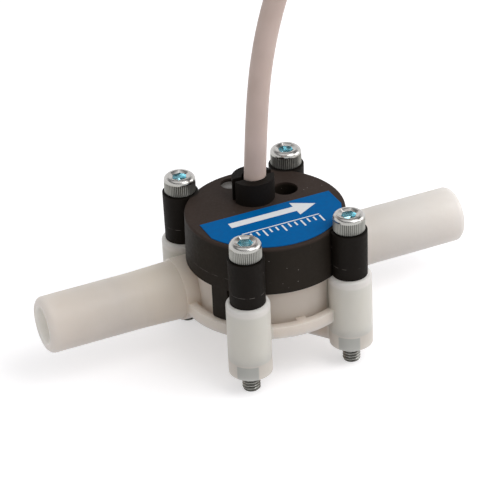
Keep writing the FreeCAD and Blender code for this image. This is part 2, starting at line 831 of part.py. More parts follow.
def main():
    os.makedirs("parts", exist_ok=True)
    board = make_board()
    chips = make_chips()
    leads = make_leads()
    cable_run = make_cable_run()
    coil = make_coil()
    nodes = {
        "meter_body": make_body(),
        "inlet_nozzle": make_nozzle(),
        "rotor": make_rotor(),
        "rotor_shaft": make_shaft(),
        "rotor_magnets": make_magnets(),
        "lower_jewel": jewel(chamber_floor - JEWEL_H),
        "upper_jewel": jewel(seat_z),
        "chamber_cover": make_cover(),
        "cover_seal": make_seal(),
        "sensor_cap": make_cap(),
        "sensor_board": board,
        "hall_sensor": make_hall_sensor(),
        "board_chips": chips,
        "sensor_leads": leads,
        "potting": make_potting([board, chips, leads, cable_run]),
        "label": make_label(),
        "cable_run": cable_run,
        "cable_coil": coil,
        "cable_cores": make_cores(coil),
    }
    for place, (x, y) in column_places.items():
        nodes["screw_" + place] = make_screw(x, y)
        nodes["nut_" + place] = make_nut(x, y)
    for name, shape in nodes.items():
        export(shape, name)


main()
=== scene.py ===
import math

import bpy
from mathutils import Matrix, Vector


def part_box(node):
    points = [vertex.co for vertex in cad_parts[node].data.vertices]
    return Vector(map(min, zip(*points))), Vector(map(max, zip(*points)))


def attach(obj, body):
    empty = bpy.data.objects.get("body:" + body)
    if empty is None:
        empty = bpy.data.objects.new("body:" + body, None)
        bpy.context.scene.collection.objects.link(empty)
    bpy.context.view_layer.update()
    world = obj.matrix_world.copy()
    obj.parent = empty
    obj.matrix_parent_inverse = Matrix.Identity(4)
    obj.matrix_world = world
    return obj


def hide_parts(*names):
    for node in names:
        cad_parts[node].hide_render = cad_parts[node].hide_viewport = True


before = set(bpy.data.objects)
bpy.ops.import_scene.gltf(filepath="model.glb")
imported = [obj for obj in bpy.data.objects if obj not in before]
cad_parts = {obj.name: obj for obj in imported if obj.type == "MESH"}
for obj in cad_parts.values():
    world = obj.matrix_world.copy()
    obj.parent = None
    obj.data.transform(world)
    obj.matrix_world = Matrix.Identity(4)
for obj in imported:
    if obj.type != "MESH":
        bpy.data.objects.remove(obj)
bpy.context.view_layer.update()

# Turbine flow meter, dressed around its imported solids.
# Lengths are metres, and MM turns millimetres into them.
MM = 0.001
PLACES = ("front_left", "front_right", "rear_left", "rear_right")

# The photograph's view
VIEW_AZIMUTH = math.radians(-23.627)
VIEW_ELEVATION = math.radians(31.043)
VIEW_ROLL = math.radians(-2.563)
VIEW_EYE = Vector((-185.887, -415.873, 297.034)) * MM
VIEW_LENS = 174.05
VIEW_SENSOR = 36.0

# How steeply a mirrored direction rises, from 0 for level to 1 for straight up.
# The surroundings turn from white to grey between HORIZON's values, and white again between OVERHEAD's.
HORIZON = (0.56, 0.66)
OVERHEAD = (0.82, 0.92)

# Distances from the meter between which the floor turns plain white, and the height that the lamps aim at
FLOOR_RISE = (200 * MM, 500 * MM)
LAMP_AIM = 20 * MM

# Screws: M4 socket head, knurled. The groove lists the share of its depth at each step round one tooth,
# and the turns are degrees.
HEAD_R = 3.5 * MM
HEAD_H = 4.0 * MM
HEAD_FOOT = 0.30 * MM
KNURL_TEETH = 48
KNURL_GROOVE = (0.0, 0.45, 1.0, 0.45)
KNURL_DEPTH = 0.17 * MM
KNURL_TOP = 2.95 * MM
KNURL_EASE = 0.12 * MM
SHOULDER_R = 1.10 * MM
SHOULDER_H = 1.00 * MM
SHOULDER_STEPS = 8
SOCKET_AF = 3.0 * MM
SOCKET_DEPTH = 2.2 * MM
SOCKET_MOUTH_R = 2.25 * MM
SOCKET_CHAMFER = 0.38 * MM
SOCKET_CONE = 0.45 * MM
THREAD_R = 2.0 * MM
THREAD_ROOT_R = 1.6 * MM
THREAD_PITCH = 0.7 * MM
THREAD_LENGTH = 15.0 * MM
THREAD_STEPS = 8
THREAD_FLANK = 1.35
THREAD_FLAT = 0.12
TIP_R = 1.72 * MM
TIP_CHAMFER = 0.3 * MM
SHANK_R = 1.78 * MM
HEAD_SEGMENTS = KNURL_TEETH * len(KNURL_GROOVE)
SHANK_SEGMENTS = HEAD_SEGMENTS // 4
SCREW_TURNS = {"front_left": 8, "front_right": 21, "rear_left": 37, "rear_right": 52}

# Nuts
NUT_AF = 7.0 * MM
NUT_H = 3.2 * MM
NUT_FACE_R = 3.35 * MM
NUT_CHAMFER = 0.35 * MM
NUT_CHAMFER_SLOPE = 2.2
NUT_BORE_R = 1.7 * MM
NUT_COUNTERSINK_R = 2.15 * MM
NUT_SEGMENTS = 96

# Cable: the route of the solids in millimetres, then the flat coil, then the bare cores
CABLE_R = 2.45 * MM
CABLE_ROUTE = (
    (0.0, 5.7, 28.85), (0.8, 5.7, 47.0), (3.4, 5.6, 70.0), (10.0, 3.4, 92.0), (22.9, -3.4, 106.2),
    (40.4, -13.8, 108.8), (54.4, -24.3, 99.3), (60.8, -32.2, 79.0), (63.2, -37.9, 60.0), (64.0, -41.2, 43.0),
    (64.1, -40.1, 30.0), (63.9, -35.2, 18.2), (63.5, -26.3, 9.2), (62.9, -15.3, 3.9),
)
COIL_CENTRE = Vector((93.1, -11.5, 2.45)) * MM
COIL_START_R = 30.55 * MM
COIL_STEP = 5.0 * MM
COIL_TURNS = 2.2
COIL_POINTS = 15
CABLE_EXIT = Vector((0.0, 5.7, 38.65)) * MM
CORE_R = 0.65 * MM
CORE_GAP = 1.5 * CORE_R
CORE_LENGTH = 14.0 * MM
CORE_STEPS = 6
CORE_BEND_STEPS = 3
CORE_FALL_STEPS = 4
CORE_LEAN = math.radians(65.0)
CORE_SPREAD = math.radians(9.0)
STRAND_R = 0.55 * CORE_R
STRAND_LENGTH = 3.0 * MM
STRAND_HIDDEN = 1.0 * MM

# Most of a noise lies between these
NOISE_RANGE = (0.3, 0.7)

# Body colours: its clouds, painted shade round the chamber's core, the neck on the left, painted light on
# the side on the right, the bores painted pale as if lit through, the columns with their tops and feet
# painted lighter as if lit through the thin plastic, and painted shade of the nuts behind the plastic
BODY_TINTS = ((0.655, 0.585, 0.525), (0.695, 0.625, 0.565))
CHAMBER_SHADE_TINT = (0.630, 0.535, 0.455)
NECK_TINT = (0.76, 0.65, 0.55)
LIT_OUTLET_TINT = (0.735, 0.690, 0.645)
BORE_LIT_THROUGH_TINT = (0.97, 0.86, 0.74)
COLUMN_TINT = (0.65, 0.625, 0.56)
COLUMN_TOP_LIGHT_TINT = (0.74, 0.70, 0.65)
COLUMN_FOOT_LIGHT_TINT = (0.70, 0.64, 0.565)
FOOT_MILK = 0.4
NUT_SHADE_TINT = (0.475, 0.475, 0.440)

# Where they lie. The share of a look is 0 at the first value of its edge and 1 at the second.
# The edges of a column's top and foot are measured from its joint with the cap and from its nut.
TUBE_AXIS = (7.0 * MM, 14.4 * MM)
JOINT_HEIGHTS = {"front": 22.25 * MM, "rear": 21.55 * MM}
CHAMBER_SHADE_EDGE = (25 * MM, 15 * MM)
LIT_OUTLET_EDGE = (16 * MM, 40 * MM)
NECK_SPAN = (-30 * MM, -15 * MM)
NECK_SOFT = 8 * MM
BORE_EDGE = (4.5 * MM, 4.1 * MM)
BORE_END_EDGE = (22 * MM, 24 * MM)
COLUMN_EDGE = (5.5 * MM, 4.95 * MM)
COLUMN_TOP_EDGE = (-2.0 * MM, -1.4 * MM)
COLUMN_FOOT_EDGE = (0.45 * MM, 0.15 * MM)
NUT_FACING = math.radians(238.0)
NUT_FLAT_EDGE = (3.0 * MM, 3.3 * MM)
NUT_FLAT_HALF = 2.35 * MM
NUT_MARGINS = (1.0 * MM, 0.05 * MM)
NUT_SOFT = 0.25 * MM

# The same for the cap. Its upper face, painted lighter, and the cable's collar, painted in shade, are
# measured from the cap's top, and the parting line from its own middle.
CAP_TOP = 33.25 * MM
PARTING_HEIGHT = 25.15 * MM
LIT_ROOF_EDGE = (-0.7 * MM, -0.2 * MM)
COLLAR_EDGE = (4.9 * MM, 4.75 * MM)
COLLAR_FOOT_EDGE = (0.1 * MM, 0.2 * MM)
CAP_COLUMN_EDGE = (4.6 * MM, 4.2 * MM)
PARTING_EDGE = (0.09 * MM, 0.04 * MM)

# And for the screws. The painted shade below the shoulder is measured from the knurl's top, and the painted
# shade in the groove from the head's side.
KNURL_SOFT = 0.05 * MM
GROOVE_SHADE_START = 0.05 * MM
SHOULDER_SHADE_EDGE = (0.7 * MM, 0.1 * MM)
THREAD_TOP_SHARE = 0.9

# Label print, its outlines in millimetres
PRINT_LIFT = 0.02 * MM
PRINT_T = 0.02 * MM
ARROW = ((-10, -4.6), (5.5, -4.6), (5.5, -6.4), (10.5, -3.6), (5.5, -0.8), (5.5, -2.6), (-10, -2.6))
SCALE_LINE = (-9.2, 9.2, -8.2, -7.9)
TICKS_ASIDE = 6
TICK_PITCH = 1.5
TICK_HALF = 0.2
TICK_TOP = -8.6
TICK_END = -10.2
LONG_TICK_END = -11.2
LONG_TICK_EVERY = 3


# Scene


def make_camera():
    a, e = VIEW_AZIMUTH, VIEW_ELEVATION
    back = Vector((math.sin(a) * math.cos(e), -math.cos(a) * math.cos(e), math.sin(e)))
    level = Vector((math.cos(a), math.sin(a), 0))
    upright = back.cross(level)
    right = math.cos(VIEW_ROLL) * level + math.sin(VIEW_ROLL) * upright
    up = -math.sin(VIEW_ROLL) * level + math.cos(VIEW_ROLL) * upright
    data = bpy.data.cameras.new("view")
    data.lens = VIEW_LENS
    data.sensor_width = VIEW_SENSOR
    data.clip_start = 0.01
    data.clip_end = 20
    camera = bpy.data.objects.new("view", data)
    camera.matrix_world = Matrix.Translation(VIEW_EYE) @ Matrix((right, up, back)).transposed().to_4x4()
    bpy.context.scene.collection.objects.link(camera)
    bpy.context.scene.camera = camera


def feed(tree, socket, value):
    """Links an output to a socket, or sets the socket to a constant, where a colour may lack its alpha."""
    if isinstance(value, bpy.types.NodeSocket):
        tree.links.new(value, socket)
    elif isinstance(value, tuple) and len(value) == 3 and socket.type == "RGBA":
        socket.default_value = (*value, 1)
    else:
        socket.default_value = value


def calculated(tree, operation, first, second):
    """Result of a math node on numbers or outputs."""
    node = tree.nodes.new("ShaderNodeMath")
    node.operation = operation
    feed(tree, node.inputs[0], first)
    feed(tree, node.inputs[1], second)
    return node.outputs[0]


def spread(tree, value, low, high, out_low, out_high):
    """value spread linearly from low..high to out_low..out_high, and held at both ends."""
    node = tree.nodes.new("ShaderNodeMapRange")
    feed(tree, node.inputs["Value"], value)
    node.inputs["From Min"].default_value = low
    node.inputs["From Max"].default_value = high
    node.inputs["To Min"].default_value = out_low
    node.inputs["To Max"].default_value = out_high
    return node.outputs["Result"]


def blended(tree, share, low, high):
    """low where share is 0 and high where it is 1."""
    node = tree.nodes.new("ShaderNodeMix")
    feed(tree, node.inputs["Factor"], share)
    feed(tree, node.inputs["A"], low)
    feed(tree, node.inputs["B"], high)
    return node.outputs["Result"]


def ray_kinds(tree):
    """1 for a direct ray and 0 for others, and 1 for a mirrored or refracted ray and 0 for others."""
    rays = tree.nodes.new("ShaderNodeLightPath").outputs
    indirect = calculated(tree, "MAXIMUM", rays["Is Glossy Ray"], rays["Is Transmission Ray"])
    return rays["Is Camera Ray"], indirect


def make_world(fill, ceiling):
    """Plain fill light. Direct views show white, and mirrors a grey band below white overhead light."""
    world = bpy.data.worlds.new("studio")
    bpy.context.scene.world = world
    world.use_nodes = True
    tree = world.node_tree
    background = tree.nodes["Background"]
    background.inputs["Color"].default_value = (1, 1, 1, 1)
    rise = tree.nodes.new("ShaderNodeSeparateXYZ")
    tree.links.new(tree.nodes.new("ShaderNodeTexCoord").outputs["Generated"], rise.inputs[0])
    horizon = spread(tree, rise.outputs["Z"], *HORIZON, 1.0, ceiling)
    overhead = spread(tree, rise.outputs["Z"], *OVERHEAD, ceiling, 1.0)
    direct, indirect = ray_kinds(tree)
    strength = blended(tree, direct, fill, 1.0)
    strength = blended(tree, indirect, strength, calculated(tree, "MAXIMUM", horizon, overhead))
    tree.links.new(strength, background.inputs["Strength"])


def make_floor(size, glow, far_glow):
    """White sweep that keeps the shadows: a diffuse share, and a plain white one for views and mirrors.

    The white share grows away from the meter, where the lamps don't reach.
    """
    mesh = bpy.data.meshes.new("floor")
    half = size / 2
    corners = [(-half, -half, 0), (half, -half, 0), (half, half, 0), (-half, half, 0)]
    mesh.from_pydata(corners, [], [(0, 1, 2, 3)])
    floor = bpy.data.objects.new("floor", mesh)
    bpy.context.scene.collection.objects.link(floor)
    material = bpy.data.materials.new("floor")
    material.use_nodes = True
    tree = material.node_tree
    tree.nodes.remove(tree.nodes["Principled BSDF"])
    diffuse = tree.nodes.new("ShaderNodeBsdfDiffuse")
    diffuse.inputs["Color"].default_value = (0.75, 0.74, 0.755, 1)
    emission = tree.nodes.new("ShaderNodeEmission")
    emission.inputs["Color"].default_value = (1, 1, 1, 1)
    away = tree.nodes.new("ShaderNodeVectorMath")
    away.operation = "LENGTH"
    tree.links.new(tree.nodes.new("ShaderNodeTexCoord").outputs["Object"], away.inputs[0])
    share = spread(tree, away.outputs["Value"], *FLOOR_RISE, glow, far_glow)
    seen = calculated(tree, "MAXIMUM", *ray_kinds(tree))
    tree.links.new(blended(tree, seen, 0.0, share), emission.inputs["Strength"])
    both = tree.nodes.new("ShaderNodeAddShader")
    tree.links.new(diffuse.outputs[0], both.inputs[0])
    tree.links.new(emission.outputs[0], both.inputs[1])
    tree.links.new(both.outputs[0], tree.nodes["Material Output"].inputs["Surface"])
    mesh.materials.append(material)


def softbox(name, direction, distance, size, power):
    """Square area light that faces the meter."""
    data = bpy.data.lights.new(name, "AREA")
    data.shape = "SQUARE"
    data.size = size
    data.energy = power
    light = bpy.data.objects.new(name, data)
    towards = Vector(direction).normalized()
    light.location = towards * distance + Vector((0, 0, LAMP_AIM))
    light.rotation_mode = "QUATERNION"
    light.rotation_quaternion = (-towards).to_track_quat("-Z", "Y")
    bpy.context.scene.collection.objects.link(light)


def make_studio():
    bpy.context.scene.view_settings.view_transform = "Standard"
    make_camera()
    make_world(fill=0.63, ceiling=0.15)
    make_floor(size=4.0, glow=0.46, far_glow=0.60)
    softbox("key", (0.60, -0.80, 1.45), distance=0.55, size=0.34, power=1.18)
    softbox("side", (1.0, -0.30, 0.45), distance=0.36, size=0.22, power=0.30)


# Materials


class Shader:
    """One procedural material on a Principled shader, with short calls for its texture nodes."""

    def __init__(self, name, **sockets):
        self.material = bpy.data.materials.new(name)
        self.material.use_nodes = True
        self.tree = self.material.node_tree
        self.surface = self.tree.nodes["Principled BSDF"]
        self.place = self.tree.nodes.new("ShaderNodeTexCoord").outputs["Object"]
        for socket, value in sockets.items():
            self.set(socket.replace("_", " "), value)

    def set(self, socket, value):
        """Gives a shader socket a constant, or links an output to it."""
        feed(self.tree, self.surface.inputs[socket], value)

    def noise(self, scale, detail, stretch=(1, 1, 1)):
        """Noise with about `scale` lumps to the metre."""
        mapping = self.tree.nodes.new("ShaderNodeMapping")
        mapping.inputs["Scale"].default_value = stretch
        self.tree.links.new(self.place, mapping.inputs["Vector"])
        node = self.tree.nodes.new("ShaderNodeTexNoise")
        node.inputs["Scale"].default_value = scale
        node.inputs["Detail"].default_value = detail
        self.tree.links.new(mapping.outputs[0], node.inputs["Vector"])
        return node.outputs["Fac"]

    def specks(self, scale, size):
        """1 in small round spots about 1 / scale apart, 0 elsewhere."""
        node = self.tree.nodes.new("ShaderNodeTexVoronoi")
        node.inputs["Scale"].default_value = scale
        self.tree.links.new(self.place, node.inputs["Vector"])
        return self.between(node.outputs["Distance"], size, size * 0.6)

    def calc(self, operation, first, second=0.0):
        return calculated(self.tree, operation, first, second)

    def product(self, first, *others):
        """All the values multiplied."""
        for value in others:
            first = self.calc("MULTIPLY", first, value)
        return first

    def between(self, value, low, high, out_low=0.0, out_high=1.0):
        """value spread linearly from low..high to out_low..out_high, and held at both ends."""
        return spread(self.tree, value, low, high, out_low, out_high)

    def varied(self, noise, low=0.0, high=1.0):
        """low to high over the range that most of a noise lies in."""
        return self.between(noise, *NOISE_RANGE, low, high)

    def band(self, value, low, high, soft):
        """1 between two values, fading over soft at each end."""
        rising = self.between(value, low - soft / 2, low + soft / 2)
        falling = self.between(value, high + soft / 2, high - soft / 2)
        return self.calc("MINIMUM", rising, falling)

    def mix(self, share, first, second):
        node = self.tree.nodes.new("ShaderNodeMix")
        node.data_type = "RGBA"
        feed(self.tree, node.inputs["Factor"], share)
        feed(self.tree, node.inputs[6], first)
        feed(self.tree, node.inputs[7], second)
        return node.outputs[2]

    def axes(self, source=None):
        """The three coordinates of a vector, by default of the place."""
        node = self.tree.nodes.new("ShaderNodeSeparateXYZ")
        self.tree.links.new(source or self.place, node.inputs[0])
        return node.outputs

    def distance(self, x, y):
        """Distance from an upright axis."""
        flat = self.tree.nodes.new("ShaderNodeVectorMath")
        flat.operation = "MULTIPLY"
        self.tree.links.new(self.place, flat.inputs[0])
        flat.inputs[1].default_value = (1, 1, 0)
        away = self.tree.nodes.new("ShaderNodeVectorMath")
        away.operation = "DISTANCE"
        self.tree.links.new(flat.outputs[0], away.inputs[0])
        away.inputs[1].default_value = (x, y, 0)
        return away.outputs["Value"]

    def along(self, x, y, direction):
        """Distances from an upright axis along a level direction, across it, and upwards."""
        shift = self.tree.nodes.new("ShaderNodeMapping")
        shift.vector_type = "TEXTURE"
        shift.inputs["Location"].default_value = (x, y, 0)
        shift.inputs["Rotation"].default_value = (0, 0, direction)
        self.tree.links.new(self.place, shift.inputs["Vector"])
        return self.axes(shift.outputs[0])

    def bump(self, height, depth):
        """Relief of that depth in metres where height goes from 0 to 1."""
        node = self.tree.nodes.new("ShaderNodeBump")
        node.inputs["Distance"].default_value = depth
        self.tree.links.new(height, node.inputs["Height"])
        self.set("Normal", node.outputs[0])


def moved(edge, start):
    """An edge that was measured from start."""
    return start + edge[0], start + edge[1]


def body_material():
    """Milky natural plastic that lets light a few millimetres in.

    The columns look greener round their screws. Their tops and feet are painted lighter where the plastic is
    thin, as if lit through, and the nuts show through as painted shade. The outlet's side carries painted
    light, the chamber's core painted shade, and the bores are painted pale as if lit through.
    """
    shader = Shader("body_plastic", Subsurface_Scale=0.0090, IOR=1.45, Specular_IOR_Level=0.35)
    shader.set("Subsurface Radius", (1.0, 1.0, 1.0))
    across, beside, height = shader.axes()
    colour = shader.mix(shader.between(shader.noise(90, 3), 0.35, 0.65), *BODY_TINTS)
    # Painted shade: the body painted darker and warmer round the chamber, under the cap
    colour = shader.mix(shader.between(shader.distance(0, 0), *CHAMBER_SHADE_EDGE), colour, CHAMBER_SHADE_TINT)
    # Painted light: the outlet's side painted lighter, as if lit from the right
    colour = shader.mix(shader.between(across, *LIT_OUTLET_EDGE), colour, LIT_OUTLET_TINT)
    colour = shader.mix(shader.band(across, *NECK_SPAN, NECK_SOFT), colour, NECK_TINT)

    # Painted light: the bores painted pale, as if lit through the thin plastic
    axis_y, axis_z = TUBE_AXIS
    aside = shader.calc("SUBTRACT", beside, axis_y)
    above = shader.calc("SUBTRACT", height, axis_z)
    inside = shader.calc("ADD", shader.product(aside, aside), shader.product(above, above))
    inside = shader.between(inside, BORE_EDGE[0] ** 2, BORE_EDGE[1] ** 2)
    outer = shader.between(shader.calc("ABSOLUTE", across), *BORE_END_EDGE)
    colour = shader.mix(shader.product(inside, outer), colour, BORE_LIT_THROUGH_TINT)

    low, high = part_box("nut_front_left")
    foot = shader.between(height, *moved(COLUMN_FOOT_EDGE, high.z))
    nut_rows = shader.band(height, low.z - NUT_MARGINS[0], high.z + NUT_MARGINS[1], NUT_SOFT)
    shallow = 0.0
    for place in PLACES:
        x, y = screw_axis(place)
        column = shader.between(shader.distance(x, y), *COLUMN_EDGE)
        joint = JOINT_HEIGHTS[place.split("_")[0]]
        upper = shader.between(height, *moved(COLUMN_TOP_EDGE, joint))
        # Painted light: the columns' tops and feet painted lighter, as if lit through the thin plastic
        tint = shader.mix(upper, COLUMN_TINT, COLUMN_TOP_LIGHT_TINT)
        colour = shader.mix(column, colour, shader.mix(foot, tint, COLUMN_FOOT_LIGHT_TINT))
        # Painted shade: a grey patch on each column where the nut lies behind the thin plastic
        outward, sideways, _ = shader.along(x, y, NUT_FACING)
        facing = shader.between(outward, *NUT_FLAT_EDGE)
        wide = shader.band(sideways, -NUT_FLAT_HALF, NUT_FLAT_HALF, NUT_SOFT)
        colour = shader.mix(shader.product(facing, wide, column, nut_rows), colour, NUT_SHADE_TINT)
        shallow = shader.calc("MAXIMUM", shallow, shader.product(foot, column))
    shader.set("Base Color", colour)
    shader.set("Subsurface Weight", shader.between(shallow, 0.0, 1.0, 1.0, FOOT_MILK))
    shader.set("Roughness", shader.varied(shader.noise(700, 3), 0.34, 0.44))
    shader.bump(shader.noise(260, 4), 0.00006)
    return shader.material


def cap_material():
    """Black moulded plastic with a broken pale parting line and a few specks of dust, painted light on top
    and painted shade on the sides, collar and columns.
    """
    shader = Shader("cap_plastic", IOR=1.48, Specular_IOR_Level=0.12)
    _, _, height = shader.axes()
    grain = shader.noise(1500, 3)
    cloud = shader.varied(shader.noise(160, 3))
    # Painted light and shade: the upper face painted lighter and the sides darker, as if lit from above
    lit_roof = shader.mix(cloud, (0.0330, 0.0225, 0.0180), (0.0400, 0.0272, 0.0222))
    shaded_wall = shader.mix(cloud, (0.0130, 0.0098, 0.0068), (0.0170, 0.0128, 0.0090))
    base = shader.mix(shader.between(height, *moved(LIT_ROOF_EDGE, CAP_TOP)), shaded_wall, lit_roof)
    # Painted shade: the cable's collar and the columns painted darker
    collar_column_shade = shader.product(
        shader.between(shader.distance(CABLE_EXIT.x, CABLE_EXIT.y), *COLLAR_EDGE),
        shader.between(height, *moved(COLLAR_FOOT_EDGE, CAP_TOP)),
    )
    for place in PLACES:
        column = shader.between(shader.distance(*screw_axis(place)), *CAP_COLUMN_EDGE)
        collar_column_shade = shader.calc("MAXIMUM", collar_column_shade, column)
    base = shader.mix(collar_column_shade, base, (0.0060, 0.0042, 0.0028))
    dust = shader.product(shader.specks(560, 0.08), shader.between(shader.noise(70, 1), 0.49, 0.53))
    off_line = shader.calc("ABSOLUTE", shader.calc("SUBTRACT", height, PARTING_HEIGHT))
    line = shader.product(
        shader.between(off_line, *PARTING_EDGE),
        shader.between(shader.noise(700, 2), 0.46, 0.58),
        shader.between(shader.noise(110, 1), 0.46, 0.56),
        shader.between(collar_column_shade, 0.0, 1.0, 0.55, 1.0),
    )
    marks = shader.calc("MAXIMUM", shader.product(dust, 0.8), shader.product(line, 0.5))
    shader.set("Base Color", shader.mix(marks, base, (0.20, 0.18, 0.17)))
    shader.set("Roughness", shader.varied(grain, 0.56, 0.68))
    shader.bump(grain, 0.000008)
    return shader.material


def label_material():
    shader = Shader("label_print", IOR=1.5, Specular_IOR_Level=0.03)
    mottle = shader.noise(900, 2)
    shader.set("Base Color", shader.mix(shader.varied(mottle), (0.0, 0.097, 0.300), (0.0, 0.111, 0.340)))
    shader.set("Roughness", shader.varied(mottle, 0.48, 0.58))
    shader.bump(shader.noise(300, 2), 0.00001)
    return shader.material


def ink_material():
    shader = Shader("label_ink", IOR=1.5, Specular_IOR_Level=0.1)
    mottle = shader.noise(1200, 2)
    shader.set("Base Color", shader.mix(mottle, (0.66, 0.68, 0.70), (0.74, 0.75, 0.77)))
    shader.set("Roughness", shader.varied(mottle, 0.36, 0.44))
    return shader.material


def steel_material(name, light, dark, low, high, depth=0.000006):
    """Plated or plain metal with drawn marks, its roughness from low to high."""
    shader = Shader(name, Metallic=1.0)
    streaks = shader.noise(700, 4, (1, 1, 0.25))
    shader.set("Base Color", shader.mix(shader.varied(shader.noise(420, 3)), light, dark))
    shader.set("Roughness", shader.varied(streaks, low, high))
    shader.bump(streaks, depth)
    return shader.material


def zinc_material():
    """Satin zinc of the screws, with painted shade in the grooves of the knurl and of the thread, and below
    the shoulder.
    """
    shader = Shader("screw_zinc", Metallic=1.0)
    _, _, height = shader.axes()
    away = shader.distance(0, 0)
    streaks = shader.noise(700, 4, (1, 1, 0.25))
    low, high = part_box("screw_front_left")
    head = high.z - low.z - HEAD_H
    knurl_top = head + KNURL_TOP
    knurl = shader.band(height, head, knurl_top - KNURL_EASE, KNURL_SOFT)
    # Painted shade: the knurl's grooves and the thread's roots painted darker
    groove = shader.product(knurl, shader.between(away, HEAD_R - GROOVE_SHADE_START, HEAD_R - KNURL_DEPTH))
    thread = shader.between(height, head, THREAD_TOP_SHARE * head)
    root = shader.product(shader.between(away, THREAD_R, THREAD_ROOT_R), thread)
    colour = shader.mix(shader.varied(shader.noise(420, 3)), (0.58, 0.565, 0.545), (0.51, 0.497, 0.48))
    # Painted shade: everything below the shoulder's edge painted darker, knurl included
    shoulder_shade = shader.between(height, *moved(SHOULDER_SHADE_EDGE, knurl_top))
    colour = shader.mix(shoulder_shade, colour, (0.41, 0.41, 0.38))
    colour = shader.mix(thread, colour, (0.42, 0.42, 0.395))
    dark = shader.calc("MAXIMUM", shader.product(groove, 0.95), shader.product(root, 0.9))
    shader.set("Base Color", shader.mix(dark, colour, (0.06, 0.06, 0.055)))
    gloss = shader.varied(streaks, 0.20, 0.28)
    shader.set("Roughness", shader.calc("ADD", gloss, shader.product(knurl, 0.28)))
    shader.bump(streaks, 0.000003)
    return shader.material


def plastic_material(name, first, second, low, high, scale=300, depth=0.00001):
    """Plain moulded or cast material whose colour and roughness vary a little."""
    shader = Shader(name)
    cloud = shader.noise(scale, 3)
    shader.set("Base Color", shader.mix(shader.varied(cloud), first, second))
    shader.set("Roughness", shader.varied(shader.noise(scale * 4, 3), low, high))
    shader.bump(cloud, depth)
    return shader.material


def cable_material():
    """Soft pale jacket with a faint lengthwise unevenness."""
    shader = Shader("cable_jacket", Subsurface_Weight=0.35, Subsurface_Scale=0.0012, IOR=1.46)
    shader.set("Subsurface Radius", (1.0, 0.85, 0.8))
    cloud = shader.varied(shader.noise(120, 3))
    shader.set("Base Color", shader.mix(cloud, (0.52, 0.410, 0.360), (0.58, 0.462, 0.412)))
    shader.set("Roughness", shader.varied(shader.noise(900, 3), 0.42, 0.55))
    shader.bump(shader.noise(160, 3, (1, 1, 0.35)), 0.00010)
    return shader.material


# Meshes


def new_mesh(name, vertices, faces, material, smooth_angle=None):
    mesh = bpy.data.meshes.new(name)
    mesh.from_pydata(vertices, [], faces)
    mesh.materials.append(material)
    mesh.validate()
    if smooth_angle is not None:
        mesh.shade_smooth()
        mesh.set_sharp_from_angle(angle=math.radians(smooth_angle))
    return mesh


def new_object(name, mesh, matrix=None):
    """Adds a piece that rides the meter, put in place by a matrix where one is given."""
    piece = bpy.data.objects.new(name, mesh)
    if matrix is not None:
        piece.matrix_world = matrix
    bpy.context.scene.collection.objects.link(piece)
    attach(piece, "meter")
    return piece


def standing(x, y, height, turn):
    """Matrix of a piece that stands at a point, turned about its own upright axis."""
    return Matrix.Translation((x, y, height)) @ Matrix.Rotation(turn, 4, "Z")


def hexagon_radius(across_flats, angle):
    """Distance from the centre to a hexagon's side, with two flats facing +X and -X."""
    turn = (angle + math.pi / 6) % (math.pi / 3) - math.pi / 6
    return across_flats / 2 / math.cos(turn)


def ring_points(segments, height, radius):
    """One closed ring; radius is a number or a function of the angle."""
    points = []
    for k in range(segments):
        angle = 2 * math.pi * k / segments
        r = radius(angle) if callable(radius) else radius
        points.append((r * math.cos(angle), r * math.sin(angle), height))
    return points


def loft(vertices, faces, segments, profile):
    """Skins rings about the Z axis, given as heights and radii that run round the skin's section.

    A radius is a number or a function of the angle. Returns the first vertex of the first and last ring.
    """
    starts = []
    for height, radius in profile:
        starts.append(len(vertices))
        vertices += ring_points(segments, height, radius)
    for low, high in zip(starts, starts[1:]):
        for k in range(segments):
            after = (k + 1) % segments
            faces.append((low + k, low + after, high + after, high + k))
    return starts[0], starts[-1]


def screw_axis(place):
    low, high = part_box("screw_" + place)
    return (low.x + high.x) / 2, (low.y + high.y) / 2


def knurled(angle):
    """Radius of the knurled band at one angle."""
    step = round(angle / (2 * math.pi) * HEAD_SEGMENTS) % len(KNURL_GROOVE)
    return HEAD_R - KNURL_DEPTH * KNURL_GROOVE[step]


def socket_side(angle):
    return hexagon_radius(SOCKET_AF, angle)


def thread_radius(height):
    """Radius round the shank at one height: a helical groove, a chamfered tip and a plain shank on top."""
    fade = min(1.0, max(0.0, (THREAD_LENGTH - height) / THREAD_PITCH))

    def radius(angle):
        phase = (height / THREAD_PITCH - angle / (2 * math.pi)) % 1.0
        # A triangle wave, made steeper and cut off so that the thread's crest and root are flat
        ridge = min(1.0, max(0.0, (1 - abs(2 * phase - 1)) * THREAD_FLANK - THREAD_FLAT))
        thread = THREAD_ROOT_R + (THREAD_R - THREAD_ROOT_R) * ridge
        r = SHANK_R + (thread - SHANK_R) * fade
        return min(r, TIP_R + height * (THREAD_R - TIP_R) / TIP_CHAMFER)

    return radius


def head_profile(base, top):
    """Outside of a screw's head from its foot up over the knurl and the shoulder to the socket's chamfer."""
    foot_r = HEAD_R - KNURL_DEPTH
    profile = [
        (base, foot_r - HEAD_FOOT / 2),
        (base + HEAD_FOOT / 2, foot_r),
        (base + HEAD_FOOT, foot_r),
        (base + HEAD_FOOT, knurled),
        (base + KNURL_TOP - KNURL_EASE, knurled),
        (base + KNURL_TOP, HEAD_R),
    ]
    for k in range(SHOULDER_STEPS + 1):
        turn = math.pi / 2 * k / SHOULDER_STEPS
        radius = HEAD_R - SHOULDER_R * (1 - math.cos(turn))
        profile.append((top - SHOULDER_H * (1 - math.sin(turn)), radius))
    profile.append((top, SOCKET_MOUTH_R))
    profile.append((top - SOCKET_CHAMFER, socket_side))
    return profile


